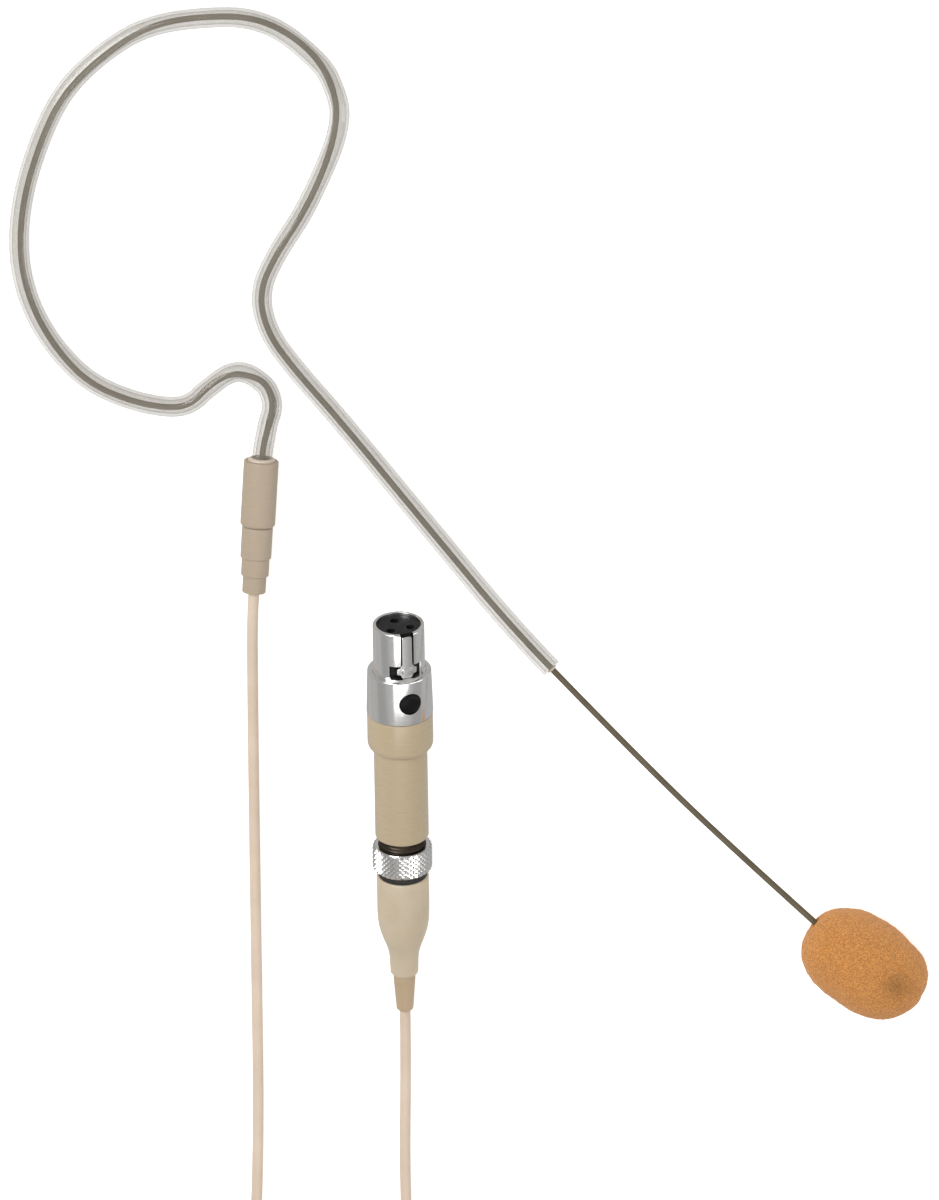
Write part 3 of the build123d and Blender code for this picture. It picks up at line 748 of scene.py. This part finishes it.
def baked(piece):
    # works the modifiers into the mesh
    deps = bpy.context.evaluated_depsgraph_get()
    mesh = bpy.data.meshes.new_from_object(piece.evaluated_get(deps))
    old = piece.data
    piece.modifiers.clear()
    piece.data = mesh
    bpy.data.meshes.remove(old)
    return mesh


def cutWith(piece, cutters):
    for cutter in cutters:
        mod = piece.modifiers.new("cut", "BOOLEAN")
        mod.operation = "DIFFERENCE"
        mod.solver = "EXACT"
        mod.object = cutter
    baked(piece)
    for cutter in cutters:
        data = cutter.data
        bpy.data.objects.remove(cutter)
        bpy.data.meshes.remove(data)


def cutterBox(x, y, z):
    bm = bmesh.new()
    bmesh.ops.create_cube(bm, size=1.0)
    size = Matrix.Diagonal(((x[1] - x[0]) * mm, (y[1] - y[0]) * mm, (z[1] - z[0]) * mm, 1))
    middle = Matrix.Translation(Vector((x[0] + x[1], y[0] + y[1], z[0] + z[1])) / 2 * mm)
    bm.transform(connectorPlace @ middle @ size)
    mesh = meshFrom(bm, "cutter")
    return meshObject("cutter", mesh, "chrome")


def radialPlace(station):
    # local Z out through the button, at a station of the connector
    out = connectorPlace.to_3x3() @ Vector((1, 0, 0))
    return axisPlace(connectorPlace @ Vector((0, 0, station * mm)), out, towardCable)


noseSizes = {"slot": 1.05, "slotEnd": 5.5, "window": 2.65, "windowEnd": 7.7, "hole": 1.80, "button": 11.7}


def makeNose(s):
    shell = turnedPiece("noseShell", [
        (0.0, 3.45, 0.1), (0.0, 4.0, 0.3), (7.25, 4.0), (7.33, 4.12, 0.05), (7.42, 4.27, 0.06), (7.74, 4.27, 0.06),
        (7.82, 4.14, 0.04), (7.95, 4.14), (7.95, 4.95, 0.22), (15.35, 5.17, 0.12), (15.45, 4.95, 0.05),
        (15.45, 4.4), (18.85, 4.4), (18.85, 3.9), (10.25, 3.9), (10.25, 3.45),
    ], connectorPlace, "chrome", 160, closed=True)
    hole = turnedPiece("cutter", [(2.6, 0.0), (2.6, s["hole"]), (9.0, s["hole"]), (9.0, 0.0)],
                       radialPlace(s["button"]), "chrome", 48)
    slot = cutterBox((2.4, 5.0), (-s["slot"], s["slot"]), (-1, s["slotEnd"] + 0.5))
    window = cutterBox((2.4, 4.6), (-s["window"], s["window"]), (s["slotEnd"], s["windowEnd"]))
    groove = cutterBox((2.4, 3.95), (-1.0, 1.0), (s["slotEnd"], 19))
    cutWith(shell, [slot, window, groove, hole])
    shadeByAngle(shell.data, 30)
    return stand(shell, "nose_shell", "adapter")


latchSizes = {
    "outer": 3.88, "thick": 0.35, "across": 14, "edge": 0.05,
    "hook": 4.12, "hookHalf": 0.8, "hookStart": 6.05, "hookEnd": 7.0,
    # half widths at stations; the ears are the widest pair, held in to clear the insert when the leaf tips
    "plan": [(0.6, 0.62), (0.75, 0.80), (5.3, 0.80), (5.6, 0.95), (6.0, 1.30), (6.1, 1.6), (6.95, 1.6),
             (7.1, 1.0), (7.6, 0.75), (17.8, 0.75)],
}


def makeLatch(s):
    # a leaf bent to the nose's curve, with a hook and two ears in the window
    plan, across = s["plan"], s["across"]
    bm = bmesh.new()
    uv = bm.loops.layers.uv.new("turned")
    skins = []
    for depth in (0.0, s["thick"]):
        rows = []
        for along, half in plan:
            row = []
            for k in range(across + 1):
                y = half * (2 * k / across - 1)
                hooked = s["hookStart"] < along < s["hookEnd"] and abs(y) < s["hookHalf"]
                outer = s["hook"] if hooked else s["outer"]
                x = math.sqrt(outer ** 2 - y ** 2) - depth
                row.append(bm.verts.new((x * mm, y * mm, along * mm)))
            rows.append(row)
        skins.append(rows)
    for rows, turn in ((skins[0], False), (skins[1], True)):
        for i in range(len(plan) - 1):
            for k in range(across):
                corners = [rows[i][k], rows[i][k + 1], rows[i + 1][k + 1], rows[i + 1][k]]
                bm.faces.new(corners[::-1] if turn else corners)
    top, bottom = skins
    last = len(plan) - 1
    for i in range(last):
        bm.faces.new((top[i][0], top[i + 1][0], bottom[i + 1][0], bottom[i][0]))
        bm.faces.new((top[i][across], bottom[i][across], bottom[i + 1][across], top[i + 1][across]))
    for i in (0, last):
        for k in range(across):
            bm.faces.new((top[i][k], top[i][k + 1], bottom[i][k + 1], bottom[i][k]))
    bmesh.ops.recalc_face_normals(bm, faces=bm.faces)
    for face in bm.faces:
        for loop in face.loops:
            loop[uv].uv = (loop.vert.co.y / mm, loop.vert.co.z / mm)
    bm.transform(connectorPlace)
    mesh = meshFrom(bm, "latch")
    shadeByAngle(mesh, 35)
    latch = meshObject("latchLeaf", mesh, "chrome")
    bevel = latch.modifiers.new("edges", "BEVEL")
    bevel.width = s["edge"] * mm
    bevel.segments = 2
    bevel.limit_method = "ANGLE"
    return stand(latch, "latch", "latch")


def makeButton(s):
    button = turnedPiece("releaseButton", [
        (4.05, 0.0), (4.05, 1.95), (4.3, 1.95, 0.05), (4.3, 1.72), (4.98, 1.72, 0.18), (5.22, 1.2, 0.6), (5.35, 0.0),
    ], radialPlace(s["button"]), "buttonBlack", 64)
    return stand(button, "release_button", "release_button")


nose = makeNose(noseSizes)
latchLeaf = makeLatch(latchSizes)
button = makeButton(noseSizes)


def makeAdapterBody(at):
    nut = closedTurn("adapterNut", [
        (at["bodyEnd"] + 0.03, 4.45), (at["bodyEnd"] + 0.03, 5.10, 0.1), (at["nutEnd"] - 0.6, 5.10, 0.5),
        (at["nutEnd"], 4.75, 0.3), (at["nutEnd"], 4.2), (at["nutEnd"] - 0.6, 4.2), (at["nutEnd"] - 0.6, 4.45),
    ], connectorPlace, "beigePaint")
    barrel = closedTurn("adapterBarrel", [
        (18.95, 3.2), (18.95, 4.35), (at["nutEnd"] - 0.65, 4.35), (at["nutEnd"] - 0.65, 4.15),
        (at["barrelEnd"], 4.15, 0.28),
        (at["barrelEnd"], 3.2),
    ], connectorPlace, "beigePaint")
    stand(nut, "adapter_nut", "adapter")
    stand(barrel, "adapter_barrel", "adapter")
    return [nut, barrel]


def makeBootEnd(at):
    start, end = at["boot"], at["bootEnd"]
    boot = turnedPiece("connectorBoot", [
        (start, 3.0), (start, 3.85), (start + 0.2, 4.05, 0.1), (start + 6.7, 4.05, 1.0), (start + 8.7, 3.92, 1.1),
        (start + 10.7, 3.42, 1.1), (start + 12.8, 2.62, 1.1), (start + 14.3, 2.28, 0.9), (end - 0.3, 2.15, 0.1),
        (end, 1.9), (end, 0.0),
        (start + 5, 0.0), (start + 5, 3.0),
    ], connectorPlace, "bootMoulding")
    relief = turnedPiece("cableRelief", [
        (end, 0.0), (end + 0.01, 1.70), (end + 0.6, 1.72, 0.2), (at["reliefEnd"] - 0.25, 1.32, 0.2),
        (at["reliefEnd"], 1.05), (at["reliefEnd"], 0.0),
    ], connectorPlace, "reliefMoulding", 64)
    seal = closedTurn("bootSeal", [
        (at["ringEnd"] + 0.07, 3.0), (at["ringEnd"] + 0.07, 3.80, 0.2), (at["ringEnd"] + 0.5, 3.9, 0.2),
        (start - 0.03, 3.80, 0.2), (start - 0.03, 3.0),
    ], connectorPlace, "blackRubber")
    stand(boot, "connector_boot", "cable")
    stand(relief, "cable_relief", "cable")
    stand(seal, "boot_seal", "cable")
    return [boot, relief, seal]


adapterPieces = makeAdapterBody(stations)
bootPieces = makeBootEnd(stations)
print("connector body made")


# geometry node trees for the knurl and the thread

def newTree(name, inputs):
    tree = bpy.data.node_groups.new(name, "GeometryNodeTree")
    tree.is_modifier = True
    tree.interface.new_socket(name="Geometry", in_out="INPUT", socket_type="NodeSocketGeometry")
    for label, kind in inputs:
        tree.interface.new_socket(name=label, in_out="INPUT", socket_type=kind)
    tree.interface.new_socket(name="Geometry", in_out="OUTPUT", socket_type="NodeSocketGeometry")
    return tree, tree.nodes.new("NodeGroupInput"), tree.nodes.new("NodeGroupOutput")


def joinedOut(tree, gin, gout, extra):
    # the plain mesh and what is grown on it, as one real mesh of one material
    link = tree.links.new
    joined = tree.nodes.new("GeometryNodeJoinGeometry")
    link(gin.outputs["Geometry"], joined.inputs[0])
    link(extra, joined.inputs[0])
    real = tree.nodes.new("GeometryNodeRealizeInstances")
    link(joined.outputs[0], real.inputs[0])
    finish = tree.nodes.new("GeometryNodeSetMaterial")
    link(real.outputs[0], finish.inputs["Geometry"])
    link(gin.outputs["Finish"], finish.inputs["Material"])
    link(finish.outputs[0], gout.inputs[0])


def knurlTree():
    # rows of small pyramids round the local Z, every other row half a step on
    tree, gin, gout = newTree("knurl", [
        ("Radius", "NodeSocketFloat"), ("Start", "NodeSocketFloat"), ("Length", "NodeSocketFloat"),
        ("Around", "NodeSocketInt"), ("Rows", "NodeSocketInt"), ("Depth", "NodeSocketFloat"),
        ("Finish", "NodeSocketMaterial")])
    link = tree.links.new
    count = mathNode(tree, "MULTIPLY", gin.outputs["Around"], gin.outputs["Rows"])
    points = tree.nodes.new("GeometryNodePoints")
    link(count, points.inputs["Count"])
    index = tree.nodes.new("GeometryNodeInputIndex").outputs[0]
    row = mathNode(tree, "FLOOR", mathNode(tree, "DIVIDE", index, gin.outputs["Around"]))
    column = mathNode(tree, "MODULO", index, gin.outputs["Around"])
    half = mathNode(tree, "MULTIPLY", mathNode(tree, "MODULO", row, 2.0), 0.5)
    turn = mathNode(tree, "DIVIDE", mathNode(tree, "ADD", column, half), gin.outputs["Around"])
    angle = mathNode(tree, "MULTIPLY", turn, 2 * math.pi)
    gaps = mathNode(tree, "SUBTRACT", gin.outputs["Rows"], 1.0)
    along = mathNode(tree, "ADD", gin.outputs["Start"],
                     mathNode(tree, "MULTIPLY", mathNode(tree, "DIVIDE", row, gaps), gin.outputs["Length"]))
    cosA, sinA = mathNode(tree, "COSINE", angle), mathNode(tree, "SINE", angle)
    at = tree.nodes.new("ShaderNodeCombineXYZ")
    link(mathNode(tree, "MULTIPLY", cosA, gin.outputs["Radius"]), at.inputs[0])
    link(mathNode(tree, "MULTIPLY", sinA, gin.outputs["Radius"]), at.inputs[1])
    link(along, at.inputs[2])
    place = tree.nodes.new("GeometryNodeSetPosition")
    link(points.outputs[0], place.inputs["Geometry"])
    link(at.outputs[0], place.inputs["Position"])
    outward = tree.nodes.new("ShaderNodeCombineXYZ")
    link(cosA, outward.inputs[0])
    link(sinA, outward.inputs[1])
    aimAxis = tree.nodes.new("FunctionNodeAxesToRotation")
    aimAxis.primary_axis = "Z"
    aimAxis.secondary_axis = "X"
    link(outward.outputs[0], aimAxis.inputs[0])
    aimAxis.inputs[1].default_value = (0, 0, 1)
    cone = tree.nodes.new("GeometryNodeMeshCone")
    cone.inputs["Vertices"].default_value = 4
    cone.inputs["Radius Top"].default_value = 0.16
    cone.inputs["Radius Bottom"].default_value = 1.0
    cone.inputs["Depth"].default_value = 1.0
    size = tree.nodes.new("ShaderNodeCombineXYZ")
    pitch = mathNode(tree, "DIVIDE", gin.outputs["Length"], gaps)
    wide = mathNode(tree, "DIVIDE", mathNode(tree, "MULTIPLY", gin.outputs["Radius"], math.pi), gin.outputs["Around"])
    link(pitch, size.inputs[0])
    link(wide, size.inputs[1])
    link(gin.outputs["Depth"], size.inputs[2])
    spots = tree.nodes.new("GeometryNodeInstanceOnPoints")
    link(place.outputs[0], spots.inputs["Points"])
    link(cone.outputs[0], spots.inputs["Instance"])
    link(aimAxis.outputs[0], spots.inputs["Rotation"])
    link(size.outputs[0], spots.inputs["Scale"])
    joinedOut(tree, gin, gout, spots.outputs[0])
    return tree


def threadTree():
    # a helix with a pointed section, round the local Z
    tree, gin, gout = newTree("thread", [
        ("Radius", "NodeSocketFloat"), ("Start", "NodeSocketFloat"), ("Length", "NodeSocketFloat"),
        ("Turns", "NodeSocketFloat"), ("Depth", "NodeSocketFloat"), ("Finish", "NodeSocketMaterial")])
    link = tree.links.new
    spiral = tree.nodes.new("GeometryNodeCurveSpiral")
    spiral.inputs["Resolution"].default_value = 72
    link(gin.outputs["Turns"], spiral.inputs["Rotations"])
    link(gin.outputs["Radius"], spiral.inputs["Start Radius"])
    link(gin.outputs["Radius"], spiral.inputs["End Radius"])
    link(gin.outputs["Length"], spiral.inputs["Height"])
    section = tree.nodes.new("GeometryNodeCurvePrimitiveCircle")
    section.inputs["Resolution"].default_value = 4
    link(gin.outputs["Depth"], section.inputs["Radius"])
    ridge = tree.nodes.new("GeometryNodeCurveToMesh")
    link(spiral.outputs[0], ridge.inputs["Curve"])
    link(section.outputs[0], ridge.inputs["Profile Curve"])
    ridge.inputs["Fill Caps"].default_value = True
    lift = tree.nodes.new("GeometryNodeTransform")
    link(ridge.outputs[0], lift.inputs["Geometry"])
    shift = tree.nodes.new("ShaderNodeCombineXYZ")
    link(gin.outputs["Start"], shift.inputs[2])
    link(shift.outputs[0], lift.inputs["Translation"])
    joinedOut(tree, gin, gout, lift.outputs[0])
    return tree


def grown(name, base, tree, values, place):
    # runs a tree on a plain mesh in local axes, then puts the result in its place
    mod = base.modifiers.new(name, "NODES")
    mod.node_group = tree
    idOf = {i.name: i.identifier for i in tree.interface.items_tree if i.in_out == "INPUT"}
    for label, value in values.items():
        mod[idOf[label]] = value
    mesh = baked(base)
    mesh.transform(place)
    mesh.update()
    return base


ringSizes = {"radius": 4.35, "around": 34, "rows": 9, "depth": 0.30, "from": 39.5, "to": 42.85}


def makeLockRing(s, at):
    plain = turnedPiece("lockRing", [
        (at["ring"], 3.75), (at["ring"], 4.2, 0.08), (at["ring"] + 0.3, 4.35, 0.05),
        (at["ringEnd"] - 0.3, 4.35, 0.05), (at["ringEnd"], 4.2, 0.08), (at["ringEnd"], 3.05),
        (at["ringEnd"] - 0.4, 3.05), (at["ringEnd"] - 0.4, 3.75),
    ], Matrix.Identity(4), "knurlChrome", 96, closed=True)
    ring = grown("knurl", plain, knurlTree(), {
        "Radius": s["radius"] * mm, "Start": s["from"] * mm, "Length": (s["to"] - s["from"]) * mm,
        "Around": s["around"], "Rows": s["rows"], "Depth": s["depth"] * mm,
        "Finish": finishes["knurlChrome"]}, connectorPlace)
    shadeByAngle(ring.data, 25)
    return stand(ring, "lock_ring", "lock_ring")


threadSizes = {"root": 3.5, "pitch": 0.5, "depth": 0.18}


def makeThreadStub(s, at):
    end = at["ring"] + 3.0
    start = at["barrelEnd"]
    plain = closedTurn("threadStub", [
        (start - 5, 2.2), (start - 5, 3.2), (start - 0.01, 3.2), (start + 0.02, s["root"]), (end, s["root"], 0.1),
        (end, 2.2),
    ], Matrix.Identity(4), "darkThread")
    length = end - start - 0.7
    stub = grown("thread", plain, threadTree(), {
        "Radius": s["root"] * mm, "Start": (start + 0.35) * mm, "Length": length * mm,
        "Turns": length / s["pitch"], "Depth": s["depth"] * mm, "Finish": finishes["darkThread"]}, connectorPlace)
    shadeByAngle(stub.data, 25)
    return stand(stub, "thread_stub", "adapter")


lockRing = makeLockRing(ringSizes, stations)
threadStub = makeThreadStub(threadSizes, stations)
print("knurl and thread grown")


# finishes of the CAD nodes that stay

keptFinish = {
    "capsule_lead": "leadJacket", "capsule_housing": "capsuleMetal", "capsule_cap": "capsuleMetal",
    "diaphragm_ring": "goldContact", "capsule_diaphragm": "metalFilm", "diaphragm_spacer": "whiteInsulator",
    "capsule_backplate": "goldContact", "backplate_holder": "blackPlastic", "preamp_board": "greenBoard",
    "preamp_chip": "blackPlastic", "boom_bush": "blackRubber", "socket_sleeve": "goldContact",
    "socket_insulator": "whiteInsulator", "socket_contact": "goldContact", "plug_sleeve": "goldContact",
    "plug_insulator": "whiteInsulator", "plug_pin": "goldContact", "connector_ferrule": "darkThread",
    "connector_insulator": "whiteInsulator", "connector_pin": "goldContact", "socket_carrier": "whiteInsulator",
    "adapter_socket": "goldContact", "contact_insert": "blackPlastic", "insert_contacts": "goldContact",
    "latch_pin": "drawnSteel",
}
for node, finish in keptFinish.items():
    mesh = frame["nodes"][node].data
    mesh.materials.clear()
    mesh.materials.append(finishes[finish])

cable.data.materials.append(finishes["cableJacket"])
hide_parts("ear_cable", "cable_coil", "plug_cable")
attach(cable, "cable")
onCable = [plugBoot, *bootPieces, *adapterPieces, lockRing, threadStub, nose, latchLeaf, button]
onCable += [frame["nodes"][n] for n in (
    "plug_sleeve", "plug_insulator", "plug_pin", "connector_ferrule", "connector_insulator", "connector_pin",
    "socket_carrier", "adapter_socket", "contact_insert", "insert_contacts", "latch_pin")]
print("finishes set")


# table, light and air

studio = {
    "floor": (0.80, 0.80, 0.795), "glow": 0.55, "key": 5.6, "fill": 1.6, "top": 2.0, "air": 0.46,
    "mirrorDark": 0.75, "mirrorFloor": 0.44, "below": 0.00002,
}


def makeFloor(s):
    bm = bmesh.new()
    bmesh.ops.create_grid(bm, x_segments=2, y_segments=2, size=8.0)
    mesh = meshFrom(bm, "floor")
    mat = bpy.data.materials.new("paper")
    mat.use_nodes = True
    shader = mat.node_tree.nodes["Principled BSDF"]
    shader.inputs["Base Color"].default_value = (*s["floor"], 1)
    shader.inputs["Roughness"].default_value = 0.9
    shader.inputs["Emission Color"].default_value = (1, 1, 1, 1)
    shader.inputs["Emission Strength"].default_value = s["glow"]
    # the chrome sees a greyer table than the eye does, so its sides stand out
    tree = mat.node_tree
    path = tree.nodes.new("ShaderNodeLightPath")
    grey = tree.nodes.new("ShaderNodeEmission")
    grey.inputs["Color"].default_value = (s["mirrorFloor"],) * 3 + (1,)
    mix = tree.nodes.new("ShaderNodeMixShader")
    tree.links.new(path.outputs["Is Glossy Ray"], mix.inputs[0])
    tree.links.new(shader.outputs[0], mix.inputs[1])
    tree.links.new(grey.outputs[0], mix.inputs[2])
    tree.links.new(mix.outputs[0], tree.nodes["Material Output"].inputs["Surface"])
    mesh.materials.append(mat)
    floor = bpy.data.objects.new("floor", mesh)
    floor.location.z = -s["below"]
    bpy.context.scene.collection.objects.link(floor)


def makeLight(name, at, aim, size, power):
    data = bpy.data.lights.new(name, "AREA")
    data.shape = "RECTANGLE"
    data.size, data.size_y = size
    data.energy = power
    lamp = bpy.data.objects.new(name, data)
    lamp.location = at
    lamp.rotation_mode = "QUATERNION"
    lamp.rotation_quaternion = (Vector(aim) - Vector(at)).to_track_quat("-Z", "Y")
    lamp.visible_camera = False
    bpy.context.scene.collection.objects.link(lamp)


def makeAir(s):
    # pale all round to the eye; seen in the chrome it has a dark band above the horizon
    world = bpy.data.worlds.new("air")
    bpy.context.scene.world = world
    world.use_nodes = True
    tree = world.node_tree
    shade = tree.nodes["Background"]
    coord = tree.nodes.new("ShaderNodeTexCoord")
    split = tree.nodes.new("ShaderNodeSeparateXYZ")
    tree.links.new(coord.outputs["Generated"], split.inputs[0])
    ramp = tree.nodes.new("ShaderNodeValToRGB")
    ramp.color_ramp.elements[0].position = 0.0
    ramp.color_ramp.elements[0].color = (0.8, 0.8, 0.8, 1)
    for position, level in ((0.12, s["mirrorDark"]), (0.42, s["mirrorDark"]), (0.60, 1.0)):
        stop = ramp.color_ramp.elements.new(position)
        stop.color = (level, level, level, 1)
    ramp.color_ramp.elements[-1].color = (1, 1, 1, 1)
    tree.links.new(split.outputs["Z"], ramp.inputs[0])
    path = tree.nodes.new("ShaderNodeLightPath")
    mix = tree.nodes.new("ShaderNodeMix")
    mix.data_type = "RGBA"
    tree.links.new(path.outputs["Is Camera Ray"], mix.inputs["Factor"])
    tree.links.new(ramp.outputs[0], mix.inputs["A"])
    mix.inputs["B"].default_value = (2.2, 2.2, 2.2, 1)
    tree.links.new(mix.outputs["Result"], shade.inputs["Color"])
    shade.inputs["Strength"].default_value = s["air"]


makeFloor(studio)
makeLight("key", (-0.45, 0.35, 0.75), (0, 0, 0), (0.5, 0.5), studio["key"])
makeLight("fill", (0.75, -0.10, 0.45), (0, 0, 0), (0.25, 0.9), studio["fill"])
makeLight("top", (0.1, -0.55, 0.9), (0, -0.02, 0), (0.9, 0.3), studio["top"])
makeAir(studio)
bpy.context.scene.view_settings.view_transform = "Standard"
print("studio ready")
